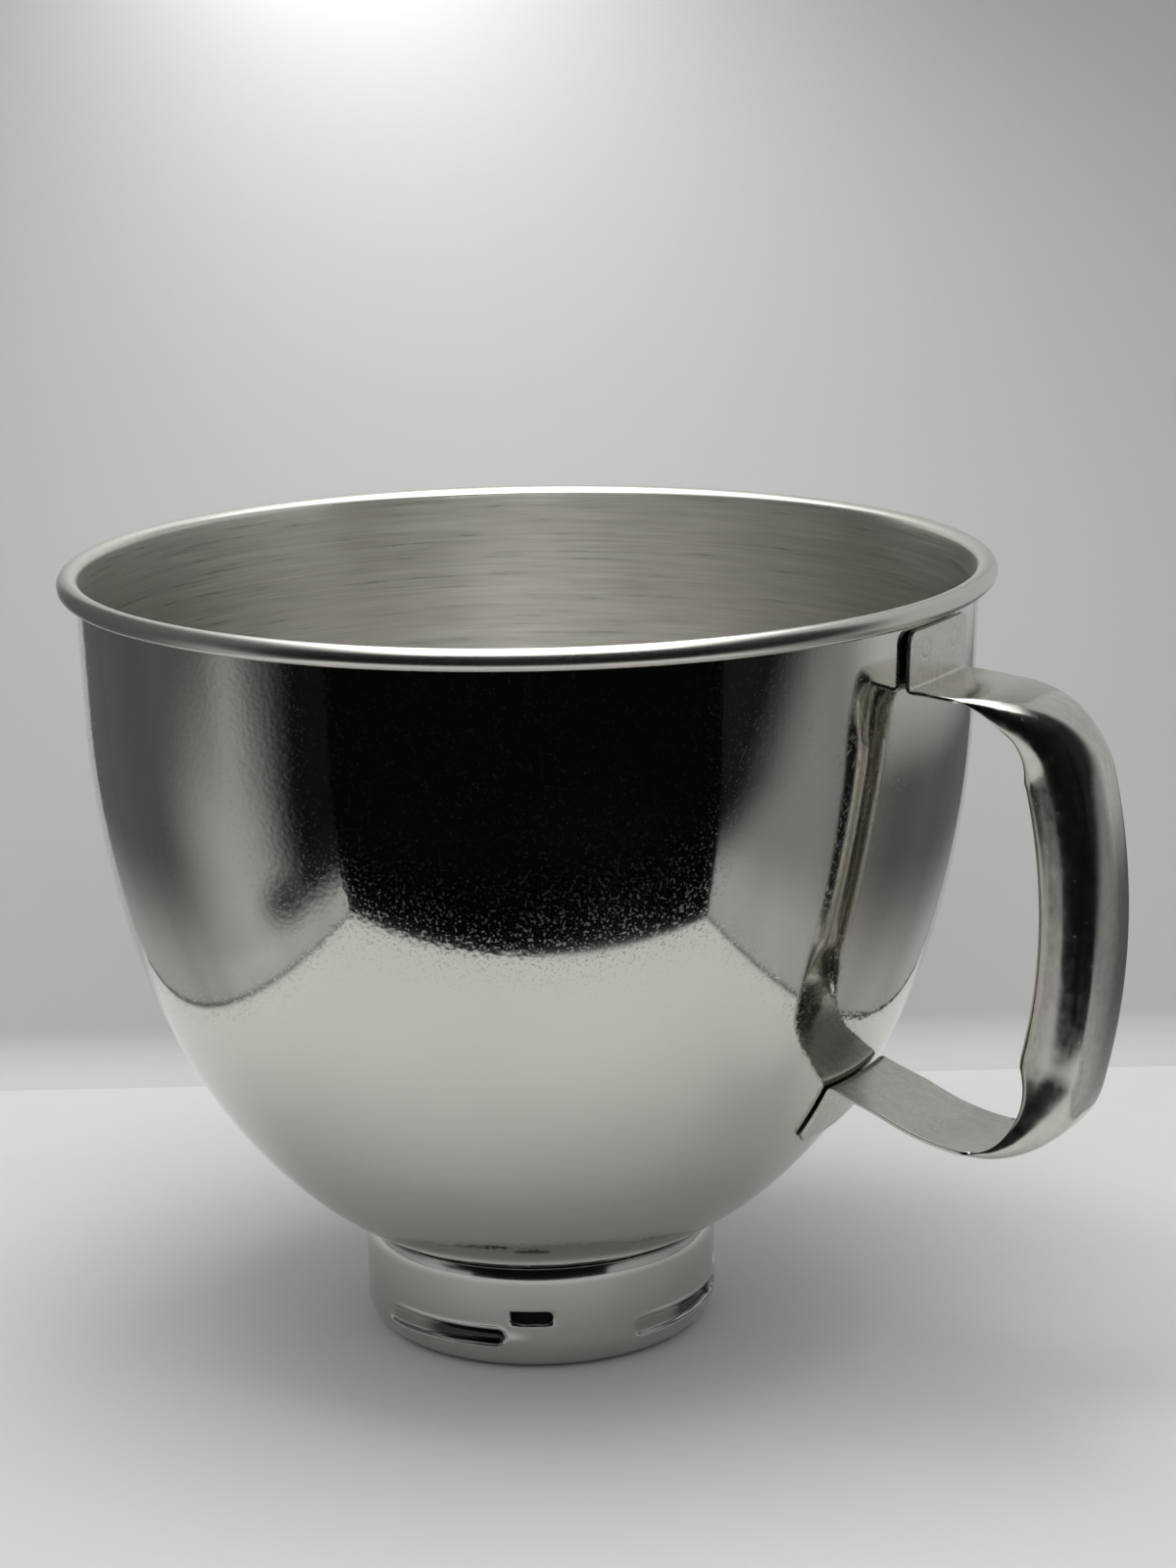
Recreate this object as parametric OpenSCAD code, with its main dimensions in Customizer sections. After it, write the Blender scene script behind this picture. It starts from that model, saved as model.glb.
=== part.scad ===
// Stainless steel mixing bowl of a tilt-head stand mixer.
// Three stampings are spot-welded together: a deep-drawn bowl with a rolled rim, a bayonet
// foot that twists into the mixer's base plate, and a strap handle with a channel-shaped grip.
// Millimetres, +Z up. The origin is on the bowl's axis, in the plane that the foot stands on,
// and the handle points along +X.

/* [Bowl] */
// Diameter over the rolled rim
rim_d = 222; // [214:1:230]
// Height from the table to the top of the rim
bowl_h = 190; // [186:1:196]
// Sheet thickness of the bowl
bowl_t = 0.8; // [0.6:0.1:1.2]
// Diameter of the rolled bead
bead_d = 5; // [4:0.2:6]
// How far round the bead's circle the sheet is curled
bead_curl = 300; // [240:5:310]
// Height of the bowl's underside above the table, on the axis
floor_z = 16; // [14:0.5:18]
// Outside radius of curvature of the round bottom
bottom_r = 89.5; // [86:0.5:92]
// Outside radius of curvature of the flank above it
flank_r = 127.5; // [122:0.5:132]
// Slope of the wall where the bottom meets the flank
bottom_slope = 45; // [42:1:48]
// Slope of the wall where the flank meets the upper wall
flank_slope = 70.7; // [69:0.1:72]
// Slope of the straight wall below the rim
wall_slope = 88.2; // [87.8:0.1:88.6]

/* [Foot] */
// Outside diameter of the foot
foot_d = 86.2; // [84:0.2:88]
// Sheet thickness of the foot
foot_t = 1.2; // [1:0.1:1.5]
// Outside radius of the foot's bottom edge
foot_edge_r = 7; // [5:0.5:8]
// Inside diameter of the flange that the foot stands on
foot_flange_d = 66; // [60:1:70]
// Outside radius with which the foot's wall starts to lean in below the bowl
lean_r = 5; // [3:0.5:12]
// Angle that the foot's wall leans in at its top
lean_turn = 19; // [12:1:21]
// Inside diameter of the flange that is welded under the bowl
weld_flange_d = 70; // [64:1:72]
// Number of bayonet grooves, and of slots
bayonet_count = 4; // [3:1:5]
// Angle that one groove covers
groove_span = 47; // [30:1:50]
// Angle of the first groove's middle, from the handle
groove_start = -4; // [-10:1:10]
// Height of the groove's middle
groove_z = 8.9; // [8.4:0.1:9.5]
// Width of the groove
groove_w = 4; // [3.6:0.2:4.6]
// Depth of the groove
groove_depth = 1.8; // [1:0.1:2]
// Angle of the first slot's middle, from the handle
slot_start = 28.3; // [26:0.1:32]
// Length of a slot round the foot
slot_w = 10.5; // [6:0.5:12]
// Height of a slot
slot_h = 3.2; // [2:0.2:4]
// Height of a slot's upper edge
slot_top_z = 15.6; // [15:0.2:18]
// Radius of a slot's lower corners
slot_corner_r = 1.5; // [0.5:0.1:1.5]

/* [Handle] */
// Sheet thickness of the handle
strap_t = 1.2; // [1:0.1:1.5]
// Width of the upper flange and strap
upper_w = 29.6; // [28:0.2:32]
// Width of the lower flange and strap
lower_w = 26.8; // [26:0.2:30]
// Height of the upper flange's top edge
upper_flange_z = 183.6; // [182:0.2:184]
// Height of the upper bend
upper_bend_z = 170.8; // [169:0.2:172]
// Length of the lower flange
lower_flange_l = 16; // [14:0.5:18]
// Inside radius of the bend between strap and flange
bend_r = 0.6; // [0.5:0.1:1.5]
// Radius of the flanges' corners
flange_corner_r = 3; // [1:0.5:4]
// Width over the grip
grip_w = 21; // [20:0.5:23]
// Depth of the grip, from its back to its rolled lips
grip_depth = 17.4; // [16:0.2:18]
// Outside radius of the grip's long edges
grip_edge_r = 8.4; // [7.6:0.2:9]
// Angle that the long edges are bent through
grip_edge_turn = 95; // [90:1:100]
// Further angle that the sides bow in
side_turn = 10; // [6:1:14]
// Outside radius of the rolled lips
lip_r = 4.6; // [4:0.2:5.2]
// Further angle that the lips are rolled in
lip_turn = 90; // [60:5:95]
// How far the back is crowned across its width
back_crown = 0.7; // [0.2:0.1:1]
// Length of the straight upper strap
upper_strap_l = 12; // [11:0.5:13]
// Fall of the upper strap, in degrees
upper_strap_fall = 0.7; // [0:0.1:2]
// Outside radius of the bow that leads into the upper corner
upper_bow_r = 66; // [60:1:72]
// Turn of that bow
upper_bow_turn = 10; // [9:0.1:11]
// Outside radius of the upper corner
upper_corner_r = 21.6; // [21:0.1:22.5]
// Turn of the upper corner
upper_corner_turn = 66.2; // [65:0.1:67]
// Outside radius of the grip's bow
grip_bow_r = 149; // [144:1:154]
// Turn of the grip's bow
grip_bow_turn = 27.9; // [27:0.1:28.5]
// Outside radius of the lower corner
lower_corner_r = 24.2; // [23:0.1:25]
// Turn of the lower corner
lower_corner_turn = 76.2; // [75:0.1:77]
// Outside radius of the lower strap's bow
lower_strap_r = 56.6; // [54:0.2:59]
// Turn of the lower strap's bow
lower_strap_turn = 22; // [21:0.1:23]
// Distance from the upper bend at which the channel starts
upper_channel_start = 7.5; // [5:0.5:9]
// Distance from the lower bend at which the channel starts
lower_channel_start = 31; // [28:1:34]
// Length over which the channel grows to its full depth at the top
upper_channel_rise = 35; // [30:1:40]
// Length over which the channel grows to its full depth at the bottom
lower_channel_rise = 41; // [36:1:46]
// How far the upper flange's long edges curve back towards the bowl
upper_sag = 0.45; // [0.2:0.05:0.9]
// How far the lower flange's long edges curve back towards the bowl
lower_sag = 0.7; // [0.2:0.05:0.8]

/* [Welds] */
// Gap between two sheets at a weld
sheet_gap = 0.2; // [0.15:0.05:0.3]
// Diameter of a handle weld
handle_weld_d = 4.2; // [3:0.2:5]
// Distance between the two upper handle welds
upper_weld_pitch = 14.6; // [12:0.2:18]
// Height of the upper handle welds
upper_weld_z = 178.8; // [176:0.2:180]
// Distance of the lower handle weld from the flange's end
lower_weld_end = 3.2; // [3:0.2:6]
// Diameter of a foot weld
foot_weld_d = 3.6; // [2:0.2:4]
// Number of foot welds
foot_weld_count = 8; // [4:1:12]

/* [Hidden] */
$fn = 96;

outside_steel = [0.72, 0.72, 0.70];
handle_steel = [0.66, 0.65, 0.62];
foot_steel = [0.60, 0.60, 0.58];
weld_steel = [0.45, 0.44, 0.42];

// Steps along the arcs that the round surfaces are drawn with
bottom_steps = 14;
flank_steps = 8;
upper_steps = 5;
bead_steps = 20;
foot_edge_steps = 10;
lean_steps = 3;
weld_flange_steps = 3;

// --- Bowl profile: three tangent arcs and a straight wall, all in the XZ half-plane ---
// A slope is the angle between the wall and the horizontal, 0 at the middle of the bottom.
bead_r = bead_d / 2;
bead_z = bowl_h - bead_r;
wall_top_r = rim_d / 2 - bead_d + bowl_t;
bottom_c = [0, floor_z + bottom_r];
flank_c = bottom_c - (flank_r - bottom_r) * [sin(bottom_slope), -cos(bottom_slope)];
flank_end = on_arc(flank_c, flank_r, flank_slope);
wall_lean = 1 / tan(wall_slope);
// The upper wall's radius is the one that brings the straight wall to wall_top_r at the bead.
upper_r = (wall_top_r - flank_end.x - (bead_z - flank_end.y) * wall_lean)
        / (sin(wall_slope) - sin(flank_slope)
           - (cos(flank_slope) - cos(wall_slope)) * wall_lean);
upper_c = flank_c - (upper_r - flank_r) * [sin(flank_slope), -cos(flank_slope)];

// Point at a slope on an arc of the bowl's profile
function on_arc(c, r, slope) = c + r * [sin(slope), -cos(slope)];

// Points along an arc of the profile, from its start or from a later step to its end
function arc(c, r, from, to, steps, first = 0) =
    [for (i = [first:steps]) on_arc(c, r, from + (to - from) * i / steps)];

// The bowl's skin at a depth below its outside, from the axis up to the bead
function skin(depth) = concat(
    arc(bottom_c, bottom_r - depth, 0, bottom_slope, bottom_steps),
    arc(flank_c, flank_r - depth, bottom_slope, flank_slope, flank_steps, 1),
    arc(upper_c, upper_r - depth, flank_slope, wall_slope, upper_steps, 1),
    [[wall_top_r - depth, bead_z]]);

// The bead's skin at a radius from its middle, from the wall over the top to the free edge
function curl(r) = [for (i = [1:bead_steps])
    let (turned = bead_curl * i / bead_steps)
    [rim_d / 2 - bead_r, bead_z] - r * [cos(turned), -sin(turned)]];

function reverse(list) = [for (i = [len(list) - 1:-1:0]) list[i]];

module bowl_shell() {
    color(outside_steel)
        rotate_extrude()
            polygon(concat(
                skin(0),
                curl(bead_r - bowl_t),
                reverse(curl(bead_r)),
                reverse(skin(bowl_t))));
}

// --- Foot ---
foot_r = foot_d / 2;
weld_flange_r = bottom_r + sheet_gap;
groove_r = groove_w / 2;
groove_c = [foot_r + groove_r - groove_depth, groove_z];

// Slope at which the round bottom reaches a distance from the axis
function bottom_slope_at(x, r) = asin(x / r);

// Bevel of the foot's upper outside edge, along the seam with the bowl
seam_bevel = 0.3;
// The wall leans in, round about lean_c, up to that bevel.
lean_end_x = foot_r - lean_r * (1 - cos(lean_turn));
seam_slope = bottom_slope_at(lean_end_x - seam_bevel, weld_flange_r);
seam_end = on_arc(bottom_c, weld_flange_r, seam_slope);
lean_c = seam_end + seam_bevel * [1, -1] - lean_r * [cos(lean_turn), sin(lean_turn)];

// Section of the foot's sheet: standing flange, rounded edge, wall, flange under the bowl
module foot_section() {
    edge_c = [foot_r - foot_edge_r, foot_edge_r];
    in_slope = bottom_slope_at(weld_flange_d / 2, weld_flange_r);
    back_slope = bottom_slope_at(foot_r - foot_t, weld_flange_r + foot_t);
    polygon(concat(
        [[foot_flange_d / 2, 0]],
        arc(edge_c, foot_edge_r, 0, 90, foot_edge_steps),
        arc(lean_c, lean_r, 90, 90 + lean_turn, lean_steps),
        arc(bottom_c, weld_flange_r, seam_slope, in_slope, weld_flange_steps),
        arc(bottom_c, weld_flange_r + foot_t, in_slope, back_slope, weld_flange_steps),
        arc(edge_c, foot_edge_r - foot_t, 90, 0, foot_edge_steps),
        [[foot_flange_d / 2, foot_t]]));
}

// Turns its children to each bayonet position
module at_bayonets(start) {
    for (i = [0:bayonet_count - 1])
        rotate(start + 360 / bayonet_count * i) children();
}

// Sector of a round bar bent round the foot, with its middle in the groove
module groove_bar(r, span) {
    rotate(-span / 2)
        rotate_extrude(angle = span)
            translate(groove_c) circle(r);
}

// Back of a groove, pressed inwards out of the foot's wall
module groove_back() {
    end_angle = foot_t / foot_r * 180 / PI;
    intersection() {
        groove_bar(groove_r + foot_t, groove_span + 2 * end_angle);
        cylinder(r = foot_r - foot_t / 2, h = 2 * groove_z);
    }
}

// Slot with square upper corners and rounded lower ones, cut through the wall along +X
module slot_cut() {
    straight = slot_w - 2 * slot_corner_r;
    reach = 3 * foot_t;
    translate([foot_r - reach, 0, slot_top_z - slot_h])
        rotate([90, 0, 90])
            linear_extrude(2 * reach)
                union() {
                    translate([-slot_w / 2, slot_corner_r])
                        square([slot_w, slot_h - slot_corner_r]);
                    translate([-straight / 2, 0]) square([straight, slot_h]);
                    for (side = [-1, 1])
                        translate([side * straight / 2, slot_corner_r]) circle(slot_corner_r);
                }
}

module foot_collar() {
    color(foot_steel)
        difference() {
            union() {
                rotate_extrude() foot_section();
                at_bayonets(groove_start) groove_back();
            }
            at_bayonets(groove_start) groove_bar(groove_r, groove_span);
            at_bayonets(slot_start) slot_cut();
        }
}

// --- Handle: a sheet swept along a path in the XZ plane ---
// A pose on the path is [x, z, heading, length so far]; the path is the sheet's middle.
half_t = strap_t / 2;
bend_mid_r = bend_r + half_t;
upper_flange_l = upper_flange_z - upper_bend_z - bend_r;

// A run is [length, turn]; a left turn is positive.
function bent(r, turn) = [r * abs(turn) * PI / 180, turn];

// Pose part of the way along a run
function along(pose, run, part) =
    let (l = run[0] * part, turn = run[1] * part, h = pose[2])
    turn == 0
        ? [pose.x + l * cos(h), pose.y + l * sin(h), h, pose[3] + l]
        : let (r = l * 180 / PI / turn)
          [pose.x + r * (sin(h + turn) - sin(h)), pose.y + r * (cos(h) - cos(h + turn)),
           h + turn, pose[3] + l];

// Pose after following a list of runs
function after(pose, runs, i = 0) =
    i == len(runs) ? pose : after(along(pose, runs[i], 1), runs, i + 1);

// Distance of the bowl's outside from the axis, in the straight wall below the bead
function wall_r(z) = wall_top_r - (bead_z - z) * wall_lean;

path_start = [wall_r(upper_flange_z) + sheet_gap + half_t, upper_flange_z, wall_slope - 180, 0];
// The upper flange runs down the wall, and the strap leaves it and goes round the grip.
strap_runs = [
    [flange_corner_r, 0],
    [upper_flange_l - flange_corner_r, 0],
    bent(bend_mid_r, 180 - wall_slope - upper_strap_fall),
    [upper_strap_l, 0],
    bent(upper_bow_r - half_t, -upper_bow_turn),
    bent(upper_corner_r - half_t, -upper_corner_turn),
    bent(grip_bow_r - half_t, -grip_bow_turn),
    bent(lower_corner_r - half_t, -lower_corner_turn),
    bent(lower_strap_r - half_t, -lower_strap_turn)];
strap_end = after(path_start, strap_runs);
// The strap then runs straight until its bend meets the circle of the lower flange.
flange_circle_r = flank_r + sheet_gap + half_t;
strap_way = [cos(strap_end[2]), sin(strap_end[2])];
bend_side = bend_mid_r * [-strap_way.y, strap_way.x];
from_flank = [strap_end.x, strap_end.y] + bend_side - flank_c;
way_in = -from_flank * strap_way;
last_strap_l = way_in - sqrt(way_in ^ 2 - from_flank * from_flank
                             + (flange_circle_r + bend_mid_r) ^ 2);
bend_out = (from_flank + last_strap_l * strap_way) / (flange_circle_r + bend_mid_r);
lower_bend_turn = atan2(-bend_out.x, bend_out.y) - strap_end[2];
// The lower flange follows the flank's circle downwards.
function down_flank(l) = [l, -l / flange_circle_r * 180 / PI];

runs = concat(strap_runs, [
    [last_strap_l, 0],
    bent(bend_mid_r, lower_bend_turn),
    down_flank(lower_flange_l - flange_corner_r),
    down_flank(flange_corner_r)]);
poses = [for (i = 0, p = path_start; i <= len(runs);
              p = i < len(runs) ? along(p, runs[i], 1) : p, i = i + 1) p];
path_l = poses[len(runs)][3];

// Parts of each run at which the sheet's section is drawn: closer together towards the
// flanges' rounded ends, and evenly spaced on the runs between them
corner_steps = 4;
corner_step = 90 / corner_steps;
run_steps = [3, 4, 6, 5, 11, 11, 12, 8, 4, 4, 3];
run_parts = concat(
    [[for (i = [0:corner_steps - 1]) 1 - cos(corner_step * i)]],
    [for (steps = run_steps) [for (i = [0:steps - 1]) i / steps]],
    [[for (i = [0:corner_steps]) sin(corner_step * i)]]);
stations = [for (i = [0:len(runs) - 1]) for (part = run_parts[i]) along(poses[i], runs[i], part)];

// Smooth rise from 0 to 1
function rise(x) = let (c = min(max(x, 0), 1)) c * c * (3 - 2 * c);

// How far the channel has grown: 0 where the strap is flat, 1 in the grip
upper_bend_s = poses[3][3];
lower_bend_s = poses[10][3];
function growth(s) = rise((s - upper_bend_s - upper_channel_start) / upper_channel_rise)
                   * rise((lower_bend_s - s - lower_channel_start) / lower_channel_rise);

// How much of each flange's crosswise curve is there
function upper_curved(s) = 1 - rise((s - poses[2][3]) / (upper_bend_s - poses[2][3]));
function lower_curved(s) = rise((s - lower_bend_s) / (poses[11][3] - lower_bend_s));

// How much a flange's rounded corner takes off the half width, at a distance from its end
function corner_inset(d) =
    d < flange_corner_r ? flange_corner_r - sqrt(d * (2 * flange_corner_r - d)) : 0;

// Half width over the sheet at a length along the path, where the channel has grown by g
function half_width(s, g) =
    let (near = s < path_l / 2 ? upper_w : lower_w)
    (near + (grip_w - near) * g) / 2 - corner_inset(min(s, path_l - s));

// The half section's four runs, from the middle of the back: back, long edge, side and lip.
// The long edges are bent over early in the channel's growth, and the lips are rolled last.
edge_bent_at = 0.06;
lip_rolled_at = 0.7;
least_edge_r = 0.75;
least_lip = 0.2;
least_side = 0.05;
least_lean = 0.3;
least_turn = 0.01;
function section(s) =
    let (g = growth(s), bending = rise(g / edge_bent_at), rolling = rise(g / lip_rolled_at),
         edge_turn = max(grip_edge_turn * bending, least_turn),
         edge_r = max(g * (grip_edge_r - half_t), least_edge_r),
         side_end = edge_turn + side_turn * rolling,
         roll_r = max(g, least_lip) * (lip_r - half_t),
         roll = max(lip_turn * rolling, least_turn),
         side_depth = g * (grip_depth - strap_t) - edge_r * (1 - cos(edge_turn))
                    - roll_r * (cos(side_end) - cos(min(side_end + roll, 180))),
         side_mid = (edge_turn + side_end) / 2,
         side = max(side_depth / max(sin(side_mid), least_lean), least_side),
         back = half_width(s, g) - half_t * bending - edge_r * sin(min(edge_turn, 90))
              - side * max(cos(side_mid), 0))
    [[back, 0], bent(edge_r, edge_turn), [side, side_end - edge_turn], bent(roll_r, roll)];

// The half section's points: where the channel has grown they divide its runs into these
// steps, and in the flat straps they are evenly spaced
section_steps = [2, 5, 2, 4];
section_parts = concat([[0, 0]], [for (run = [0:3])
    for (i = [1:section_steps[run]]) [run, i / section_steps[run]]]);
half_steps = len(section_parts) - 1;
divided_at = 0.3;

// Pose on the half section at a length from its middle
function section_at(l, half, starts, i = 0) =
    i == 3 || l <= starts[i + 1][3]
        ? along(starts[i], half[i], (l - starts[i][3]) / half[i][0])
        : section_at(l, half, starts, i + 1);

// Ring of points round the sheet at one station: the outside one way, the inside back
function ring(pose) =
    let (s = pose[3], half = section(s), half_w = half_width(s, growth(s)),
         starts = [for (i = 0, p = [0, 0, 0, 0]; i < 4; p = along(p, half[i], 1), i = i + 1) p],
         half_l = along(starts[3], half[3], 1)[3],
         divided = min(growth(s) / divided_at, 1),
         curved = upper_sag * upper_curved(s) + lower_sag * lower_curved(s),
         crowned = back_crown * rise((s - upper_bend_s) / upper_strap_l)
                 * rise((lower_bend_s - s) / upper_strap_l))
    [for (face = [1, -1]) for (i = [-half_steps:half_steps])
        let (k = face * i, part = section_parts[abs(k)], run = part[0],
             run_l = starts[run][3] + half[run][0] * part[1],
             l = divided * run_l + (1 - divided) * half_l * abs(k) / half_steps,
             p = section_at(l, half, starts),
             sag = curved * (p[3] / half_l) ^ 2 + crowned * (p[0] / half_w) ^ 2,
             across = sign(k) * (p[0] + face * half_t * sin(p[2])),
             inward = p[1] - face * half_t * cos(p[2]) + sag)
        [pose.x + inward * sin(pose[2]), across, pose.y - inward * cos(pose[2])]];

// Closed skin over a list of equal rings
module skin_over(rings) {
    n = len(rings[0]);
    last = n * (len(rings) - 1);
    walls = [for (i = [0:len(rings) - 2]) for (j = [0:n - 1])
        let (a = i * n + j, b = i * n + (j + 1) % n)
        each [[a, b, b + n], [a, b + n, a + n]]];
    start = [for (j = [0:n / 2 - 2]) let (k = n - 1 - j) each [[j, k, j + 1], [j + 1, k, k - 1]]];
    end = [for (f = start) [f[0] + last, f[2] + last, f[1] + last]];
    polyhedron(concat([for (r = rings) each r]), concat(walls, start, end));
}

module handle() {
    color(handle_steel) skin_over([for (pose = stations) ring(pose)]);
}

// --- Welds: thin discs of weld metal that fill the gap between two sheets ---
// Disc on the bowl's skin at a slope, on an arc of the profile, facing outwards
module weld_disc(c, r, slope, d, h) {
    at = on_arc(c, r, slope);
    translate([at.x, 0, at.y])
        rotate([0, 180 - slope, 0])
            cylinder(d = d, h = h);
}

module upper_handle_welds() {
    weld_r = wall_r(upper_weld_z);
    turn = asin(upper_weld_pitch / 2 / weld_r);
    color(weld_steel)
        for (side = [-1, 1])
            rotate(side * turn)
                translate([weld_r, 0, upper_weld_z])
                    rotate([0, 180 - wall_slope, 0])
                        cylinder(d = handle_weld_d, h = sheet_gap);
}

module lower_handle_welds() {
    weld_pose = along(poses[12], down_flank(flange_corner_r - lower_weld_end), 1);
    from_c = [weld_pose.x, weld_pose.y] - flank_c;
    color(weld_steel)
        weld_disc(flank_c, flank_r, atan2(from_c.x, -from_c.y), handle_weld_d, sheet_gap);
}

module foot_welds() {
    slope = bottom_slope_at((foot_r - foot_t + weld_flange_d / 2) / 2, weld_flange_r);
    color(weld_steel)
        for (i = [0:foot_weld_count - 1])
            rotate(360 / foot_weld_count * (i + 0.5))
                weld_disc(bottom_c, bottom_r, slope, foot_weld_d, sheet_gap);
}

bowl_shell();
foot_collar();
handle();
upper_handle_welds();
lower_handle_welds();
foot_welds();
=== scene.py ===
"""Looks of a stainless steel mixing bowl: a bowl with a rolled rim, a bayonet foot and a strap handle.

Lengths in the geometry functions are millimetres, and meshes are made in metres. +Z is up, the origin is
on the bowl's axis at the table, and the handle points along +X.
"""

import math
from itertools import pairwise
from math import cos, pi, radians, sin, sqrt

import bpy
import numpy as np
from mathutils import Matrix, Vector


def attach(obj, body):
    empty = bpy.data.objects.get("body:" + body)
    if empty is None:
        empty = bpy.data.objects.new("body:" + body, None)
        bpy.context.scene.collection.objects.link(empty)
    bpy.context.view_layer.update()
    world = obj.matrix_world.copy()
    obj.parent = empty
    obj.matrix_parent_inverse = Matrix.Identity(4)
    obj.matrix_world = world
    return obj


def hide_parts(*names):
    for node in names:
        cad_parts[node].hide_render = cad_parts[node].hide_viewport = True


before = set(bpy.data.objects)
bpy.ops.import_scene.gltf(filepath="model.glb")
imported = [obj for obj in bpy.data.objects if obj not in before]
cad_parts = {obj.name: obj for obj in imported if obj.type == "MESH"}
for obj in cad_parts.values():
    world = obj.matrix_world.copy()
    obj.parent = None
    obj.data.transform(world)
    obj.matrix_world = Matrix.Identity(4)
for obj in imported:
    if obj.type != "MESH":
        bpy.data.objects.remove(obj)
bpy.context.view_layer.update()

MM = 0.001

# ---- bowl, as in the CAD
RIM_R = 111.0
BOWL_H = 190.0
BOWL_T = 0.8
BEAD_R = 2.5
BEAD_CURL = radians(300)
FLOOR_Z = 16.0
BOTTOM_R = 89.5
FLANK_R = 127.5
BOTTOM_SLOPE = radians(45)
FLANK_SLOPE = radians(70.7)
WALL_SLOPE = radians(88.2)
SEGMENTS = 288
BOTTOM_STEPS, FLANK_STEPS, UPPER_STEPS, WALL_STEPS, CURL_STEPS = 44, 28, 34, 10, 24

BEAD_Z = BOWL_H - BEAD_R
BEAD_LOW_Z = BOWL_H - 2 * BEAD_R
WALL_TOP_R = RIM_R - 2 * BEAD_R + BOWL_T
WALL_LEAN = 1 / math.tan(WALL_SLOPE)


def slope_way(slope):
    """Unit vector from an arc's centre to the point where the wall has that slope."""
    return np.array([sin(slope), -cos(slope)])


BOTTOM_C = np.array([0.0, FLOOR_Z + BOTTOM_R])
FLANK_C = BOTTOM_C - (FLANK_R - BOTTOM_R) * slope_way(BOTTOM_SLOPE)
FLANK_END = FLANK_C + FLANK_R * slope_way(FLANK_SLOPE)
UPPER_R = (WALL_TOP_R - FLANK_END[0] - (BEAD_Z - FLANK_END[1]) * WALL_LEAN) / (
    sin(WALL_SLOPE) - sin(FLANK_SLOPE) - (cos(FLANK_SLOPE) - cos(WALL_SLOPE)) * WALL_LEAN
)
UPPER_C = FLANK_C - (UPPER_R - FLANK_R) * slope_way(FLANK_SLOPE)


def arc_points(c, r, start, end, steps, first=0):
    return [c + r * slope_way(start + (end - start) * i / steps) for i in range(first, steps + 1)]


def skin(depth):
    """The bowl's skin at a depth below its outside, from the axis up to the bead."""
    top = np.array([WALL_TOP_R - depth, BEAD_Z])
    points = (
        arc_points(BOTTOM_C, BOTTOM_R - depth, 0, BOTTOM_SLOPE, BOTTOM_STEPS)
        + arc_points(FLANK_C, FLANK_R - depth, BOTTOM_SLOPE, FLANK_SLOPE, FLANK_STEPS, 1)
        + arc_points(UPPER_C, UPPER_R - depth, FLANK_SLOPE, WALL_SLOPE, UPPER_STEPS, 1)
    )
    last = points[-1]
    return points + [last + (top - last) * i / WALL_STEPS for i in range(1, WALL_STEPS + 1)]


def curl(r):
    """The bead's skin at a radius from its middle, from the wall over the top to the free edge."""
    turns = [BEAD_CURL * i / CURL_STEPS for i in range(1, CURL_STEPS + 1)]
    return [np.array([RIM_R - BEAD_R - r * cos(a), BEAD_Z + r * sin(a)]) for a in turns]


def new_piece(name, points, faces, materials, material_of=None):
    """A smooth mesh from points in millimetres, riding on the one body."""
    mesh = bpy.data.meshes.new(name)
    mesh.from_pydata((np.asarray(points) * MM).tolist(), [], faces)
    for m in materials:
        mesh.materials.append(m)
    if material_of is not None:
        mesh.polygons.foreach_set("material_index", np.asarray(material_of, np.int32))
    mesh.polygons.foreach_set("use_smooth", np.ones(len(faces), bool))
    mesh.validate()
    mesh.update()
    piece = bpy.data.objects.new(name, mesh)
    bpy.context.scene.collection.objects.link(piece)
    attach(piece, "root")
    return piece


def build_bowl(outside, inside):
    """The whole sheet as one closed skin of revolution. The inside starts at the top of the bead."""
    outer, inner = skin(0), skin(BOWL_T)
    # outside of the bowl, hidden inside of the bead, then the bead's own outside, then the bowl's inside
    profile = outer + curl(BEAD_R - BOWL_T) + curl(BEAD_R)[::-1] + inner[::-1]
    first_inside = len(profile) - len(inner) - 2
    rims = profile[1:-1]
    turns = np.arange(SEGMENTS) * 2 * pi / SEGMENTS
    points = [(0, 0, profile[0][1])]
    for r, z in rims:
        points += list(zip(r * np.cos(turns), r * np.sin(turns), np.full(SEGMENTS, z), strict=True))
    points.append((0, 0, profile[-1][1]))
    last, last_rim = len(points) - 1, 1 + (len(rims) - 1) * SEGMENTS
    faces, finish = [], []
    for j in range(SEGMENTS):
        k = (j + 1) % SEGMENTS
        faces.append((0, 1 + k, 1 + j))
        for i in range(len(rims) - 1):
            a, b = 1 + i * SEGMENTS, 1 + (i + 1) * SEGMENTS
            faces.append((a + j, a + k, b + k, b + j))
        faces.append((last, last_rim + j, last_rim + k))
        finish += [0] + [int(i >= first_inside) for i in range(len(rims) - 1)] + [1]
    bowl = new_piece("steel_bowl", points, faces, [outside, inside], finish)
    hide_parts("bowl_shell")


# ---- paths of the handle and of its sections
STRAIGHT = 1e-12  # a turn below this makes a straight run


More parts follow.
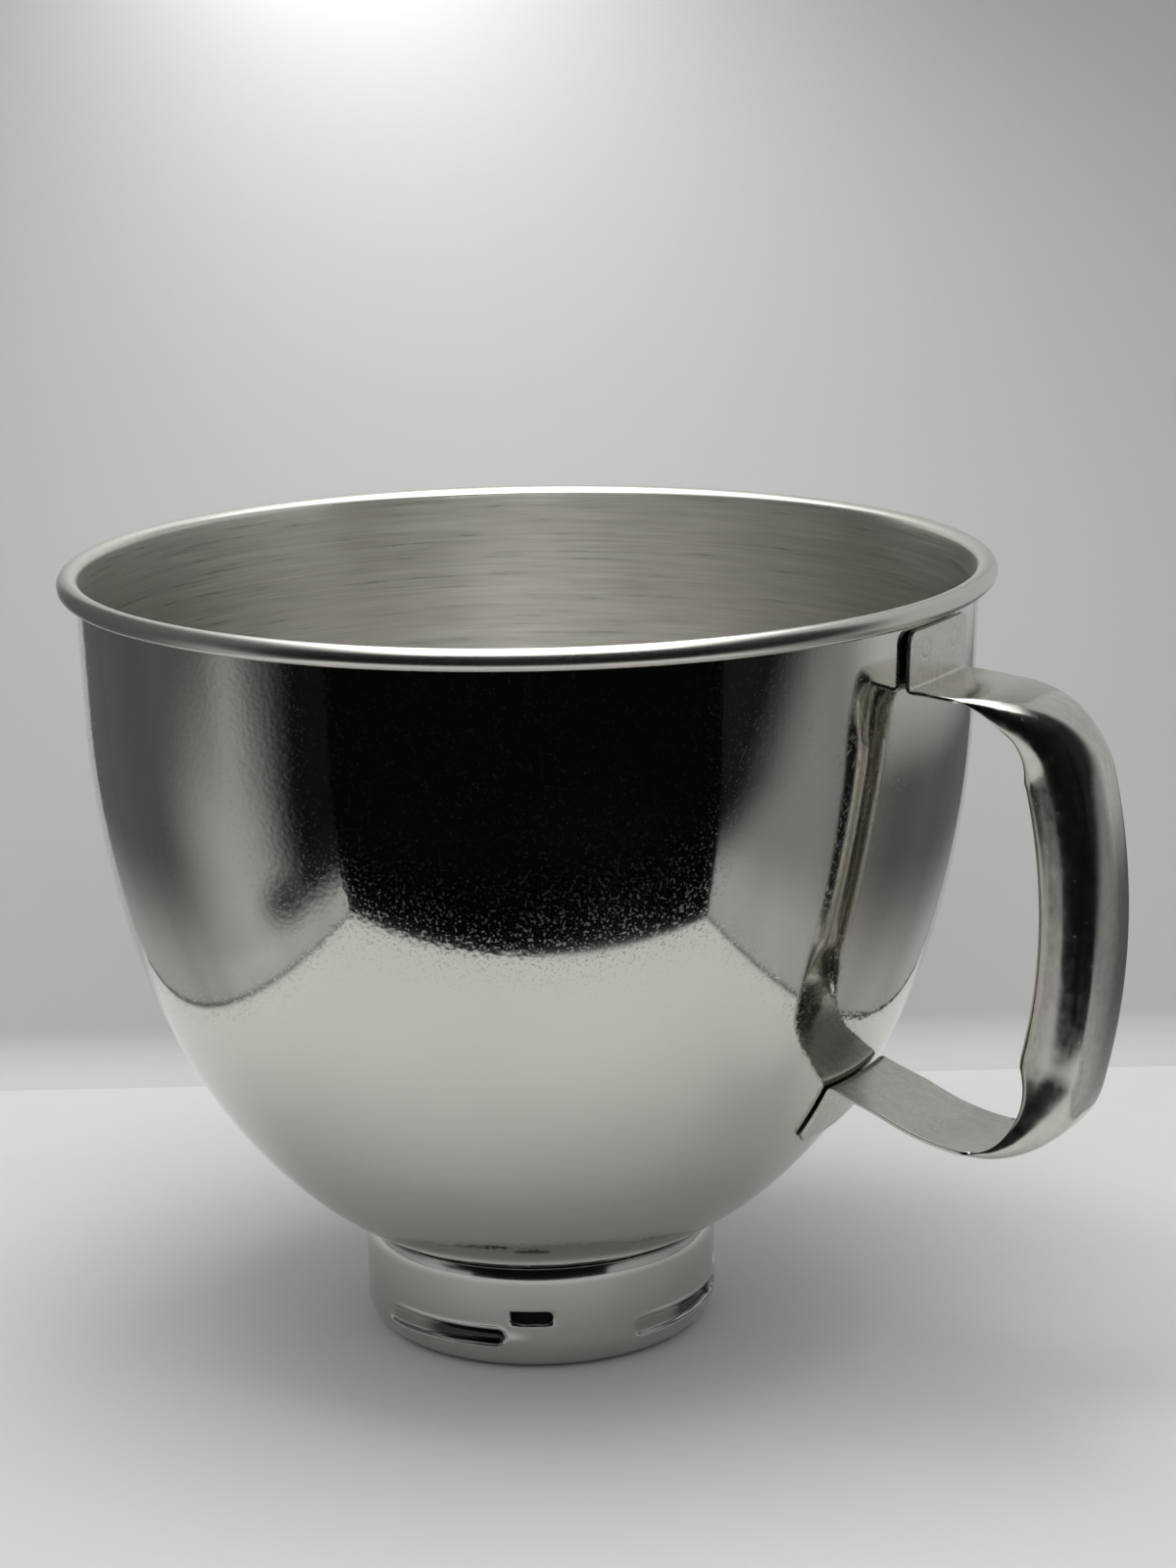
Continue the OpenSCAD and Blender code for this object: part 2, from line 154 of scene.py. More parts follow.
class Path:
    """A line in the XZ plane made of straight and round runs, each (length, turn), a left turn positive."""

    def __init__(self, x, z, heading):
        self.poses, self.runs = [(x, z, heading, 0.0)], []

    def straight(self, length):
        return self.add(length, 0.0)

    def bent(self, r, turn):
        return self.add(r * abs(turn), turn)

    def add(self, length, turn):
        self.runs.append((length, turn))
        self.poses.append(self._along(len(self.runs) - 1, 1.0))
        return self

    def _along(self, i, part):
        x, z, h, s = self.poses[i]
        length, turn = self.runs[i][0] * part, self.runs[i][1] * part
        if abs(turn) < STRAIGHT:
            return (x + length * cos(h), z + length * sin(h), h, s + length)
        r = length / turn
        return (x + r * (sin(h + turn) - sin(h)), z + r * (cos(h) - cos(h + turn)), h + turn, s + length)

    def at(self, s):
        i = 0
        while i < len(self.runs) - 1 and s > self.poses[i + 1][3]:
            i += 1
        return self._along(i, (s - self.poses[i][3]) / self.runs[i][0])

    def starts(self):
        return [p[3] for p in self.poses]

    def spaced(self, pitches):
        """Lengths along the path with about that pitch on each run."""
        out = []
        for i, pitch in enumerate(pitches):
            steps = max(1, round(self.runs[i][0] / pitch))
            out += [self.poses[i][3] + self.runs[i][0] * k / steps for k in range(steps)]
        return out + [self.poses[-1][3]]


def rise(x):
    """Smooth rise from 0 to 1 of a number or an array."""
    c = np.clip(x, 0.0, 1.0)
    return c * c * (3 - 2 * c)


# ---- foot
FOOT_R = 43.1
FOOT_T = 1.2
FOOT_BACK_R = FOOT_R - FOOT_T
FOOT_EDGE_R = 7.0
FOOT_FLANGE_R = 33.0
WELD_FLANGE_R = 35.0
SHEET_GAP = 0.2
WELD_OUTER_R = BOTTOM_R + SHEET_GAP
WELD_INNER_R = WELD_OUTER_R + FOOT_T
LEAN_R, LEAN_TURN = 12.0, radians(19)  # the wall leans in below the bowl
SEAM_BEVEL, SEAM_CORNER = 0.3, np.array([-0.3, 0.75])  # along the seam with the bowl
CUT_ROUND, CUT_INSET = 0.2, 0.18  # of the foot's cut edges
COLUMNS = 480
FLANGE_ROWS, EDGE_ROWS, GROOVE_ROWS, PATCH_ROWS = 3, 34, 20, 12
TOP_ROWS, LEAN_ROWS, SEAM_ROWS, WELD_ROWS = 5, 10, 3, 6

QUARTER = pi / 2  # between neighbouring grooves and slots
GROOVE_MIDDLE = radians(-4)
GROOVE_HALF = radians(23.5)
GROOVE_TOP_Z, GROOVE_LOW_Z = 10.95, 6.4
GROOVE_NARROWING = 0.9  # rise of its lower side towards the deep end
GROOVE_DEPTH, GROOVE_SHALLOW = 1.75, 0.4  # at the deep end, and the shallow end's share of it
GROOVE_DEEPENS = (0.3, 0.35)  # start and length of the ramp, as shares of the groove's length
GROOVE_ABOVE_Z = 14.0  # nothing is pressed above this
SHELF_W, SLOPE_W = 1.1, 1.3  # of the groove's lower side, and what its upper side adds
LIP_PROUD, LIP_Z, LIP_H = 0.3, 8.2, 1.7  # beside the groove's deep end
RIM_PROUD, RIM_W = 0.14, 0.45  # all round the groove

SLOT_MIDDLE = radians(28.3)
SLOT_W, SLOT_TOP_Z, SLOT_H = 10.5, 15.6, 3.2
SLOT_MIDDLE_Z = SLOT_TOP_Z - SLOT_H / 2
# half axes of the ellipses that round a slot's corners, by (towards the right, towards the top)
SLOT_CORNERS = {
    (False, True): (0.5, 0.4),
    (True, True): (1.9, 1.3),
    (False, False): (3.4, 1.6),
    (True, False): (2.4, 1.6),
}
SLOT_DISH, SLOT_BACK_DISH = 0.3, -0.1  # how far the sheet is dished in at the slot's edge
SLOT_WALL = ((0.12, 0.10), (0.5, 0.13), (0.88, 0.10))  # share of the sheet's depth, and inset into the slot
PATCH_COLUMNS, PATCH_RINGS = 11, 6
PATCH_LOW_Z, PATCH_HIGH_Z = 11.8, 16.2


def low_rows():
    """Rows of the standing flange and of the rounded bottom edge."""
    edge_c = np.array([FOOT_R - FOOT_EDGE_R, FOOT_EDGE_R])
    start = FOOT_FLANGE_R + CUT_ROUND
    rows = []
    for i in range(FLANGE_ROWS):
        x = start + (edge_c[0] - start) * i / FLANGE_ROWS
        rows.append(((x, 0.0), (x, FOOT_T), (0.0, -1.0)))
    for i in range(EDGE_ROWS):
        way = slope_way(QUARTER * i / EDGE_ROWS)
        rows.append((edge_c + FOOT_EDGE_R * way, edge_c + (FOOT_EDGE_R - FOOT_T) * way, way))
    return rows


def wall_rows(top_z):
    """Rows of the upright wall, with the bands that the grooves and the slots need."""
    bands = (
        (FOOT_EDGE_R, PATCH_LOW_Z, GROOVE_ROWS),
        (PATCH_LOW_Z, PATCH_HIGH_Z, PATCH_ROWS),
        (PATCH_HIGH_Z, top_z, TOP_ROWS),
    )
    heights = [low + (high - low) * i / steps for low, high, steps in bands for i in range(steps)]
    return [((FOOT_R, z), (FOOT_BACK_R, z), (1.0, 0.0)) for z in heights]


def lean_rows(lean_c, back_z, seam_end):
    """Rows where the wall leans in, and where its top edge is rounded into the seam."""
    heights = np.linspace(lean_c[1], back_z, LEAN_ROWS + SEAM_ROWS + 1)
    rows = []
    for i in range(LEAN_ROWS + 1):
        way = slope_way(QUARTER + LEAN_TURN * i / LEAN_ROWS)
        rows.append((lean_c + LEAN_R * way, (FOOT_BACK_R, heights[i]), way))
    lean_end = rows[-1][0]
    corner = lean_end + SEAM_BEVEL * SEAM_CORNER
    for i in range(1, SEAM_ROWS + 1):
        part = i / SEAM_ROWS
        point = (1 - part) ** 2 * lean_end + 2 * part * (1 - part) * corner + part**2 * seam_end
        rows.append((point, (FOOT_BACK_R, heights[LEAN_ROWS + i]), (0.0, 1.0)))
    return rows


def weld_rows(seam_slope, back_slope, last):
    """Rows of the flange that lies against the bowl's bottom."""
    rows = []
    for i in range(1, WELD_ROWS + 1):
        out, back = (a + (last - a) * i / WELD_ROWS for a in (seam_slope, back_slope))
        point = BOTTOM_C + WELD_OUTER_R * slope_way(out)
        rows.append((point, BOTTOM_C + WELD_INNER_R * slope_way(back), -slope_way(out)))
    return rows


def foot_profile():
    """The foot's outer and inner points (r, z), the outward way at each row, and its two cut edges."""
    lean_end_x = FOOT_R - LEAN_R * (1 - cos(LEAN_TURN))
    seam_slope = math.asin((lean_end_x - SEAM_BEVEL) / WELD_OUTER_R)
    seam_end = BOTTOM_C + WELD_OUTER_R * slope_way(seam_slope)
    lean_end = seam_end + SEAM_BEVEL * np.array([1, -1])
    lean_c = lean_end - LEAN_R * np.array([cos(LEAN_TURN), sin(LEAN_TURN)])
    back_slope = math.asin(FOOT_BACK_R / WELD_INNER_R)
    back_z = BOTTOM_C[1] - WELD_INNER_R * cos(back_slope)
    end_slope = math.asin(WELD_FLANGE_R / WELD_OUTER_R)
    rows = low_rows() + wall_rows(lean_c[1]) + lean_rows(lean_c, back_z, seam_end)
    rows += weld_rows(seam_slope, back_slope, end_slope + CUT_ROUND / WELD_OUTER_R)
    start_edge = [(FOOT_FLANGE_R, z) for z in (CUT_INSET, FOOT_T / 2, FOOT_T - CUT_INSET)]
    end_rs = (WELD_OUTER_R + CUT_INSET, WELD_OUTER_R + FOOT_T / 2, WELD_INNER_R - CUT_INSET)
    end_edge = [BOTTOM_C + r * slope_way(end_slope) for r in end_rs]
    return [np.array([row[k] for row in rows], float) for k in range(3)] + [start_edge, end_edge]


def groove_depth(turn, z):
    """Depth of the bayonet grooves below the foot's skin: positive is inwards, negative is the proud lip."""
    a = (turn - GROOVE_MIDDLE + QUARTER / 2) % QUARTER - QUARTER / 2
    part = (a + GROOVE_HALF) / (2 * GROOVE_HALF)
    low_z = GROOVE_LOW_Z + GROOVE_NARROWING * np.clip(part, 0, 1)
    mid_z, end_r = (GROOVE_TOP_Z + low_z) / 2, (GROOVE_TOP_Z - low_z) / 2
    # distance outside the groove's rounded outline, negative inside, in millimetres
    along = np.abs(a) * FOOT_R - (GROOVE_HALF * FOOT_R - end_r)
    away = np.hypot(np.maximum(along, 0), z - mid_z) - end_r
    ramp = rise((part - GROOVE_DEEPENS[0]) / GROOVE_DEEPENS[1])
    depth = GROOVE_DEPTH * (GROOVE_SHALLOW + (1 - GROOVE_SHALLOW) * ramp)
    # the lower side is a steep shelf, and the upper side a gentle slope
    width_in = SHELF_W + SLOPE_W * rise((z - low_z - 0.9) / 1.2)
    inside = np.clip((0.15 - away) / width_in, 0, 1)
    pressed = depth * (1 - (1 - inside) ** 2) * rise(inside / 0.16)
    # the ramp's lip stands a little proud below and past the groove's deep end
    before = rise((a - radians(6)) / radians(15))
    after = rise((GROOVE_HALF + radians(11) - a) / radians(9))
    past = np.where(a > 0, 1.0, 0.0) * before * after
    proud = LIP_PROUD * past * np.exp(-(((z - LIP_Z) / LIP_H) ** 2)) * rise(away / 0.8)
    rim = RIM_PROUD * np.exp(-(((away - RIM_W) / RIM_W) ** 2)) * rise((part + 0.05) / 0.3)
    return pressed - proud - rim


def slot_outline(u, v):
    """Point on the slot's edge for a point (u, v) on the border of the square from -1 to 1."""
    x, y = u * SLOT_W / 2, v * SLOT_H / 2
    rx, ry = SLOT_CORNERS[u > 0, v > 0]
    cx, cy = SLOT_W / 2 - rx, SLOT_H / 2 - ry
    if abs(x) > cx and abs(y) > cy:
        dx, dy = (abs(x) - cx) / rx, (abs(y) - cy) / ry
        d = math.hypot(dx, dy)
        return math.copysign(cx + dx / d * rx, x), math.copysign(cy + dy / d * ry, y)
    return x, y


def revolved(line, turn, inset=0.0, way=None):
    """Points (row, column, 3) of a profile line turned round the axis, moved in against its outward way."""
    r, z = line[:, 0][:, None] + 0 * turn[None, :], line[:, 1][:, None] + 0 * turn[None, :]
    if way is not None:
        r, z = r - inset * way[:, 0][:, None], z - inset * way[:, 1][:, None]
    return np.stack([r * np.cos(turn)[None, :], r * np.sin(turn)[None, :], z], -1)


def build_foot(material):
    """The foot's sheet as a closed grid, with a ring of faces worked in round each slot."""
    outer_line, inner_line, way, start_edge, end_edge = foot_profile()
    turn = SLOT_MIDDLE + np.arange(COLUMNS) * 2 * pi / COLUMNS
    heights = outer_line[:, 1]
    pressed_rows = (heights < GROOVE_ABOVE_Z) & (way[:, 0] > 0)
    depth = groove_depth(turn[None, :], heights[:, None]) * pressed_rows[:, None]
    outer = revolved(outer_line, turn, depth, way)
    inner = revolved(inner_line, turn, depth, way)
    rows = len(outer_line)
    points = np.concatenate([outer.reshape(-1, 3), inner.reshape(-1, 3)]).tolist()
    inner_at = rows * COLUMNS
    low = FLANGE_ROWS + EDGE_ROWS + GROOVE_ROWS
    high = low + PATCH_ROWS
    quarter = COLUMNS // 4
    faces = []
    for i in range(rows - 1):
        in_rows = low <= i < high
        for j in range(COLUMNS):
            from_slot = (j + PATCH_COLUMNS) % quarter
            if in_rows and from_slot < 2 * PATCH_COLUMNS:
                continue
            k = (j + 1) % COLUMNS
            a, b = i * COLUMNS, (i + 1) * COLUMNS
            faces.append((a + j, a + k, b + k, b + j))
            faces.append((inner_at + a + k, inner_at + a + j, inner_at + b + j, inner_at + b + k))
    for slot in range(4):
        slot_patch(points, faces, slot * quarter, low, high, heights, inner_at)
    close_foot_edge(points, faces, 0, inner_at, start_edge, True)
    close_foot_edge(points, faces, (rows - 1) * COLUMNS, inner_at, end_edge, False)
    foot = new_piece("bayonet_foot", points, faces, [material])
    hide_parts("foot_collar")


def slot_border(low, rows):
    """Grid points (column, row) round a slot's patch, from its lower left corner."""
    n = PATCH_COLUMNS
    return (
        [(j, low) for j in range(-n, n)]
        + [(n, low + i) for i in range(rows)]
        + [(j, low + rows) for j in range(n, -n, -1)]
        + [(-n, low + i) for i in range(rows, 0, -1)]
    )


def join_rings(faces, a, b, flip=False):
    """A band of faces between two closed rings of points."""
    for q in range(len(a)):
        p = (q + 1) % len(a)
        face = (a[q], a[p], b[p], b[q])
        faces.append(face[::-1] if flip else face)


def slot_patch(points, faces, column, low, high, heights, inner_at):
    """Faces between the grid and one slot's edge on both skins, and the slot's own wall."""
    step = 2 * pi / COLUMNS
    border = slot_border(low, high - low)
    centre = SLOT_MIDDLE + column * step
    edges = []
    for skin_at, face_r, dished in ((0, FOOT_R, SLOT_DISH), (inner_at, FOOT_BACK_R, SLOT_BACK_DISH)):
        rings = [[skin_at + i * COLUMNS + (column + j) % COLUMNS for j, i in border]]
        for k in range(1, PATCH_RINGS + 1):
            part = k / PATCH_RINGS
            rings.append(list(range(len(points), len(points) + len(border))))
            for j, i in border:
                x0, z0 = j * step * FOOT_R, heights[i]
                x1, y1 = slot_outline(j / PATCH_COLUMNS, 2 * (i - low) / (high - low) - 1)
                x, z = x0 + (x1 - x0) * part, z0 + (SLOT_MIDDLE_Z + y1 - z0) * part
                r, a = face_r - dished * part**3, centre + x / FOOT_R
                points.append([r * cos(a), r * sin(a), z])
        for a, b in pairwise(rings):
            join_rings(faces, a, b, flip=skin_at > 0)
        edges.append(rings[-1])
    slot_wall(points, faces, edges, centre)


def slot_wall(points, faces, edges, centre):
    """The slot's wall between its edges on the outer and the inner skin, swollen a little into the slot."""
    middle = np.array([FOOT_R * cos(centre), FOOT_R * sin(centre), SLOT_MIDDLE_Z])
    rings = [edges[0]]
    for part, inset in SLOT_WALL:
        rings.append(list(range(len(points), len(points) + len(edges[0]))))
        for outer, inner in zip(*edges, strict=True):
            a, b = np.array(points[outer]), np.array(points[inner])
            towards = middle - a
            away = np.linalg.norm(towards)
            points.append((a + (b - a) * part + towards / away * inset * min(1.0, away)).tolist())
    rings.append(edges[1])
    for a, b in pairwise(rings):
        join_rings(faces, a, b)


def close_foot_edge(points, faces, row_at, inner_at, edge, back):
    """Rounded cut edge between the outer and the inner skin, through three points of the profile."""
    turn = SLOT_MIDDLE + np.arange(COLUMNS) * 2 * pi / COLUMNS
    first = len(points)
    points += revolved(np.array(edge), turn).reshape(-1, 3).tolist()
    rings = [row_at, *(first + i * COLUMNS for i in range(len(edge))), inner_at + row_at]
    for a, b in pairwise(rings):
        for j in range(COLUMNS):
            k = (j + 1) % COLUMNS
            face = (a + j, b + j, b + k, a + k)
            faces.append(face if back else face[::-1])


# ---- handle
STRAP_T = 1.2
HALF_T = STRAP_T / 2
UPPER_W, LOWER_W = 29.6, 26.8
UPPER_FLANGE_Z, UPPER_BEND_Z = 183.6, 170.8
LOWER_FLANGE_L = 16.0
BEND_R = 0.6
FLANGE_CORNER_R = 3.0
GRIP_W, GRIP_DEPTH, GRIP_EDGE_R = 21.0, 17.4, 8.4
GRIP_EDGE_TURN, SIDE_TURN = radians(95), radians(10)
LIP_R, LIP_TURN = 4.6, radians(90)
BACK_CROWN = 0.7
UPPER_STRAP_L, UPPER_STRAP_FALL = 12.0, radians(0.7)
# outside radius of each bow and its turn in degrees
BOWS = ((66.0, 10.0), (21.6, 66.2), (149.0, 27.9), (24.2, 76.2), (56.6, 22.0))
CHANNEL_STARTS, CHANNEL_RISES = (7.5, 31.0), (35.0, 41.0)
EDGE_BENT_AT, LIP_ROLLED_AT, DIVIDED_AT = 0.06, 0.7, 0.3  # of the channel's growth
LEAST_EDGE_R, LEAST_LIP, LEAST_SIDE, LEAST_LEAN = 0.75, 0.2, 0.05, 0.3
LEAST_TURN = radians(0.01)
UPPER_SAG, LOWER_SAG = 0.45, 0.7
CUT_EDGE_R, CUT_STEPS = 0.28, 4
CUT_TURNS = [pi / 2 * i / CUT_STEPS for i in range(1, CUT_STEPS + 1)]
TIP_SHARE = 0.999  # leaves the tip's cut edge a little width
CORNER_STEPS = 12
HANDLE_WELD_R = 2.1
WELD_RING, WELD_RING_W, WELD_DOME, WELD_DOME_W = 0.16, 0.32, 0.05, 0.6
DENT, DENT_W, DENT_FROM_END, DENT_ASIDE = 0.14, 0.45, 4.4, 9.6  # on the lower flange
UPPER_WELDS = (4.8, 7.3)  # along the path and to each side
LOWER_WELD_END = 3.2
SECTION_STEPS = (16, 20, 8, 12)  # along the back, the long edge, the side and the lip
HALF_COLUMNS = sum(SECTION_STEPS)
PITCHES = (0.24, 0.12, 0.9, 0.85, 0.8, 1.2, 0.75, 0.85, 0.9, 0.12, 0.24)  # of the rings on each run
SKIN_SHARE = 0.88  # keeps the finely drawn skin inside the CAD's facets


def wall_r(z):
    return WALL_TOP_R - (BEAD_Z - z) * WALL_LEAN


def handle_path():
    mid_bend = BEND_R + HALF_T
    path = Path(wall_r(UPPER_FLANGE_Z) + SHEET_GAP + HALF_T, UPPER_FLANGE_Z, WALL_SLOPE - pi)
    path.straight(UPPER_FLANGE_Z - UPPER_BEND_Z - BEND_R)
    path.bent(mid_bend, pi - WALL_SLOPE - UPPER_STRAP_FALL)
    path.straight(UPPER_STRAP_L)
    for r, turn in BOWS:
        path.bent(r - HALF_T, -radians(turn))
    x, z, h, _ = path.poses[-1]
    circle_r = FLANK_R + SHEET_GAP + HALF_T
    way = np.array([cos(h), sin(h)])
    from_flank = np.array([x, z]) + mid_bend * np.array([-way[1], way[0]]) - FLANK_C
    way_in = -from_flank @ way
    last = way_in - sqrt(way_in**2 - from_flank @ from_flank + (circle_r + mid_bend) ** 2)
    out = (from_flank + last * way) / (circle_r + mid_bend)
    path.straight(last)
    path.bent(mid_bend, math.atan2(-out[0], out[1]) - h)
    path.bent(circle_r, -LOWER_FLANGE_L / circle_r)
    return path


def half_section(g, half_w):
    """Middle line of the half section where the channel has grown by g: back, long edge, side and lip."""
    bending, rolling = rise(g / EDGE_BENT_AT), rise(g / LIP_ROLLED_AT)
    edge_turn = max(GRIP_EDGE_TURN * bending, LEAST_TURN)
    edge_r = max(g * (GRIP_EDGE_R - HALF_T), LEAST_EDGE_R)
    side_end = edge_turn + SIDE_TURN * rolling
    roll_r = max(g, LEAST_LIP) * (LIP_R - HALF_T)
    roll = max(LIP_TURN * rolling, LEAST_TURN)
    edge_depth = edge_r * (1 - cos(edge_turn))
    roll_depth = roll_r * (cos(side_end) - cos(min(side_end + roll, pi)))
    side_depth = g * (GRIP_DEPTH - STRAP_T) - edge_depth - roll_depth
    side_mid = (edge_turn + side_end) / 2
    side = max(side_depth / max(sin(side_mid), LEAST_LEAN), LEAST_SIDE)
    edge_w, side_w = edge_r * sin(min(edge_turn, pi / 2)), side * max(cos(side_mid), 0.0)
    back = half_w - HALF_T * bending - edge_w - side_w
    section = Path(0.0, 0.0, 0.0).straight(back).bent(edge_r, edge_turn)
    return section.add(side, side_end - edge_turn).bent(roll_r, roll)


def column_lengths(section, g):
    """Lengths from the section's middle at which its columns stand, evenly spaced where the sheet is flat."""
    starts, divided = section.starts(), min(g / DIVIDED_AT, 1.0)
    by_run = [0.0]
    for run, steps in enumerate(SECTION_STEPS):
        by_run += [starts[run] + section.runs[run][0] * k / steps for k in range(1, steps + 1)]
    even = [starts[-1] * i / HALF_COLUMNS for i in range(HALF_COLUMNS + 1)]
    return [divided * a + (1 - divided) * b for a, b in zip(by_run, even, strict=True)]


def weld_mark(away):
    """Height of the skin over a spot weld, at a distance from its middle: a pressed ring round a low dome."""
    ring = -WELD_RING * math.exp(-(((away - HANDLE_WELD_R) / WELD_RING_W) ** 2))
    return ring - WELD_DOME * rise((HANDLE_WELD_R - away) / WELD_DOME_W)


def corner_inset(from_end):
    """How far a flange's rounded corner lies inside its side, at a distance from the flange's end."""
    if from_end >= FLANGE_CORNER_R:
        return 0.0
    return FLANGE_CORNER_R - sqrt(max(from_end * (2 * FLANGE_CORNER_R - from_end), 0))


class Strap:
    """The handle's sheet as rings of points along its path."""

    def __init__(self):
        self.path = handle_path()
        starts = self.path.starts()
        self.end = starts[-1]
        self.upper_flange, self.upper_bend = starts[1:3]
        self.lower_bend, self.lower_flange = starts[9:11]
        self.welds = [(UPPER_WELDS[0], side * UPPER_WELDS[1]) for side in (-1, 1)]
        self.welds.append((self.end - LOWER_WELD_END, 0.0))

    def growth(self, s):
        """Growth of the channel at a length along the path."""
        upper = rise((s - self.upper_bend - CHANNEL_STARTS[0]) / CHANNEL_RISES[0])
        return upper * rise((self.lower_bend - s - CHANNEL_STARTS[1]) / CHANNEL_RISES[1])

    def half_width(self, s, g):
        near = UPPER_W if s < self.end / 2 else LOWER_W
        return (near + (GRIP_W - near) * g) / 2 - corner_inset(min(s, self.end - s))

    def sag(self, s):
        """How far the flanges' sides bend to lie against the round bowl."""
        upper = 1 - rise((s - self.upper_flange) / (self.upper_bend - self.upper_flange))
        lower = rise((s - self.lower_bend) / (self.lower_flange - self.lower_bend))
        return UPPER_SAG * upper + LOWER_SAG * lower

    def crown(self, s):
        """How far the grip's back is crowned."""
        from_ends = (s - self.upper_bend, self.lower_bend - s)
        return BACK_CROWN * rise(from_ends[0] / UPPER_STRAP_L) * rise(from_ends[1] / UPPER_STRAP_L)

    def marks(self, s, m):
        """Height of the weld marks and the dent on a flange's outer face."""
        away = [math.hypot(s - along, m - aside) for along, aside in self.welds]
        height = sum(weld_mark(d) for d in away if d < 2 * HANDLE_WELD_R)
        if s > self.lower_bend:
            from_dent = math.hypot(s - self.end + DENT_FROM_END, m + DENT_ASIDE)
            height -= DENT * math.exp(-((from_dent / DENT_W) ** 2))
        return height

    def ring(self, s, thin):
        """Points round the sheet at a length along the path, its cut edges thinned at the flanges' tips."""
        x, z, h, _ = self.path.at(s)
        g = self.growth(s)
        half_w = self.half_width(s, g)
        section = half_section(g, half_w)
        half_l = section.starts()[-1]
        sag, crown = self.sag(s), self.crown(s)
        on_flange = s < self.upper_bend or s > self.lower_bend
        out = []
        for m, off in sheet_loop(column_lengths(section, g), half_l, thin):
            px, inward, turn, _ = section.at(abs(m))
            if on_flange and off > HALF_T * 0.9:
                off += self.marks(s, m)
            off *= SKIN_SHARE
            inward += sag * (m / half_l) ** 2 + crown * (px / half_w) ** 2 - off * cos(turn)
            y = math.copysign(1, m) * (px + off * sin(turn))
            out.append((x + inward * sin(h), y, z - inward * cos(h)))
        return out

    def stations(self):
        """Lengths along the path at which the rings stand, each with how far its sheet is thinned."""
        corner = [FLANGE_CORNER_R * (1 - cos(pi / 2 * i / CORNER_STEPS)) for i in range(1, CORNER_STEPS)]
        first, last = FLANGE_CORNER_R, self.end - FLANGE_CORNER_R
        lengths = {s for s in self.path.spaced(PITCHES) if first <= s <= last}
        lengths |= {*corner, *(self.end - c for c in corner), CUT_EDGE_R, self.end - CUT_EDGE_R}
        lengths = [s for s in sorted(lengths) if CUT_EDGE_R <= s <= self.end - CUT_EDGE_R]
        tips = [(CUT_EDGE_R * (1 - sin(a)), CUT_EDGE_R * (1 - cos(a))) for a in CUT_TURNS[::-1]]
        return tips + [(s, 0.0) for s in lengths] + [(self.end - s, thin) for s, thin in tips[::-1]]


def sheet_loop(columns, half_l, thin):
    """Places (length from the middle, height off the middle line) round the sheet's section."""
    cut = CUT_EDGE_R - thin * TIP_SHARE
    face_l = half_l - thin - cut
    half = [length * face_l / half_l for length in columns]
    across = [(m, HALF_T - thin) for m in [-m for m in half[:0:-1]] + half]
    edge = [(face_l + cut * sin(a), HALF_T - thin - cut + cut * cos(a)) for a in CUT_TURNS]
    edge += [(m, -off) for m, off in reversed(edge)]
    return across + edge + [(m, -off) for m, off in reversed(across)] + [(-m, -off) for m, off in edge]


def build_handle(material):
    """The strap as one closed mesh. Known fault: its faces, caps included, wind inwards."""
    strap = Strap()
    rings = [strap.ring(s, thin) for s, thin in strap.stations()]
    n = len(rings[0])
    faces = []
    for i in range(len(rings) - 1):
        a, b = i * n, (i + 1) * n
        faces += [(a + j, a + (j + 1) % n, b + (j + 1) % n, b + j) for j in range(n)]
    faces += end_cap(0, False) + end_cap((len(rings) - 1) * n, True)
    handle = new_piece("strap_handle", [p for ring in rings for p in ring], faces, [material])
    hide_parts("handle")


def end_cap(at, flip):
    """Strip of faces that closes the ring that starts at a point, between its outer and its inner face."""
    wide, edge = 2 * HALF_COLUMNS, 2 * CUT_STEPS
    first = wide + edge + 1  # the first inner point, opposite the last outer one
    caps = []
    for i in range(wide):
        a, b = at + i, at + i + 1
        c, d = at + first + wide - i - 1, at + first + wide - i
        caps.append((a, b, c, d) if flip else (a, d, c, b))
    right = [at + wide + i for i in range(edge + 2)]
    left = [at + first + wide + i for i in range(edge + 1)] + [at]
    return caps + [tuple(side if flip else side[::-1]) for side in (right, left)]


# ---- materials
MICRON = 0.000001
# darkest and lightest colour of each metal
OUTSIDE_STEEL = ((0.66, 0.645, 0.60), (0.70, 0.685, 0.64))
INSIDE_STEEL = ((0.55, 0.54, 0.50), (0.78, 0.77, 0.72))
FOOT_STEEL = ((0.50, 0.495, 0.47), (0.58, 0.575, 0.55))
HANDLE_STEEL = ((0.54, 0.525, 0.48), (0.72, 0.705, 0.66))
WELD_METAL = ((0.30, 0.29, 0.27), (0.52, 0.50, 0.47))
# colour of the painted shade in the foot's grooves, round its slots and on its inside
GROOVE_SHADE = (0.10, 0.097, 0.09)
HAIR_AMOUNT, HAIR_PITCH, HAIR_STRETCH = 0.27, 0.0006, 60.0
HAIR_TURNS = ((0.5, 0.3, 0.2), (1.3, 0.2, 1.9), (1.9, 0.9, 0.4))


